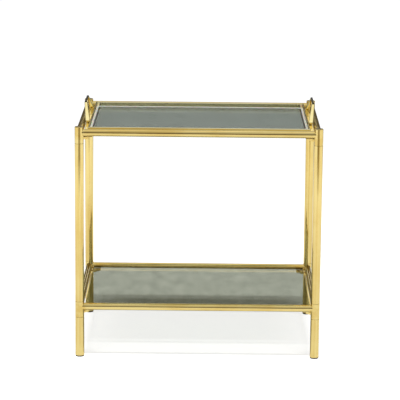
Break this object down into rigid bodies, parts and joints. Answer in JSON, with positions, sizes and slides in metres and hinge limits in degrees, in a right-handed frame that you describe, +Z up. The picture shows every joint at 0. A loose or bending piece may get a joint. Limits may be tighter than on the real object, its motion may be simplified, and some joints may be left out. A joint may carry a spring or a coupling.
{
  "type": "tiered side table",
  "caption": "Tiered side table with round brass posts and rails, a fixed smoked glass shelf below and a lift-off glass tray with end handles on top.",
  "frame": {"origin": "on the floor, under the middle of the table", "axes": "+Z up, +X to the right along the long side, front is -Y"},
  "size_m": [0.548, 0.4, 0.557],
  "materials": {
    "brass": "polished",
    "steel": "plain",
    "rubber": "matte",
    "dark_grip": "satin",
    "clear_bead": "pale",
    "shelf_glass": "smoked",
    "tray_glass": "smoked"
  },
  "bodies": {
    "frame": {"leg_tube_front_left": "brass", "lower_corner_front_left": "brass", "post_tube_front_left": "brass", "upper_corner_front_left": "brass", "post_cap_front_left": "brass", "foot_glide_front_left": "rubber", "leg_tube_front_right": "brass", "lower_corner_front_right": "brass", "post_tube_front_right": "brass", "upper_corner_front_right": "brass", "post_cap_front_right": "brass", "foot_glide_front_right": "rubber", "leg_tube_rear_right": "brass", "lower_corner_rear_right": "brass", "post_tube_rear_right": "brass", "upper_corner_rear_right": "brass", "post_cap_rear_right": "brass", "foot_glide_rear_right": "rubber", "leg_tube_rear_left": "brass", "lower_corner_rear_left": "brass", "post_tube_rear_left": "brass", "upper_corner_rear_left": "brass", "post_cap_rear_left": "brass", "foot_glide_rear_left": "rubber", "lower_rail_front": "brass", "upper_rail_front": "brass", "lower_rail_rear": "brass", "upper_rail_rear": "brass", "lower_rail_left": "brass", "upper_rail_left": "brass", "lower_rail_right": "brass", "upper_rail_right": "brass", "leg_joint_bushings": "steel", "post_base_bushings": "steel", "post_top_bushings": "steel", "tie_rods": "steel", "foot_plugs": "steel", "rail_spigots": "steel", "rail_set_screws": "steel", "rest_screws": "steel", "shelf_rests": "brass", "tray_rests": "brass", "shelf_pads": "rubber", "tray_pads": "rubber", "shelf_glass": "shelf_glass"},
    "tray": {"tray_rim_front": "brass", "tray_rim_rear": "brass", "tray_rim_left": "brass", "tray_rim_right": "brass", "handle_leg_left_front": "brass", "handle_leg_left_rear": "brass", "handle_leg_right_front": "brass", "handle_leg_right_rear": "brass", "handle_grip_left": "dark_grip", "handle_grip_right": "dark_grip", "handle_screws": "steel", "tray_glass": "tray_glass", "tray_ledges": "brass", "glazing_beads": "clear_bead"}
  },
  "joints": [
    {"name": "tray_lift", "type": "slide", "parent": "frame", "child": "tray", "axis": [0, 0, 1], "range_m": [0, 0.12]}
  ]
}
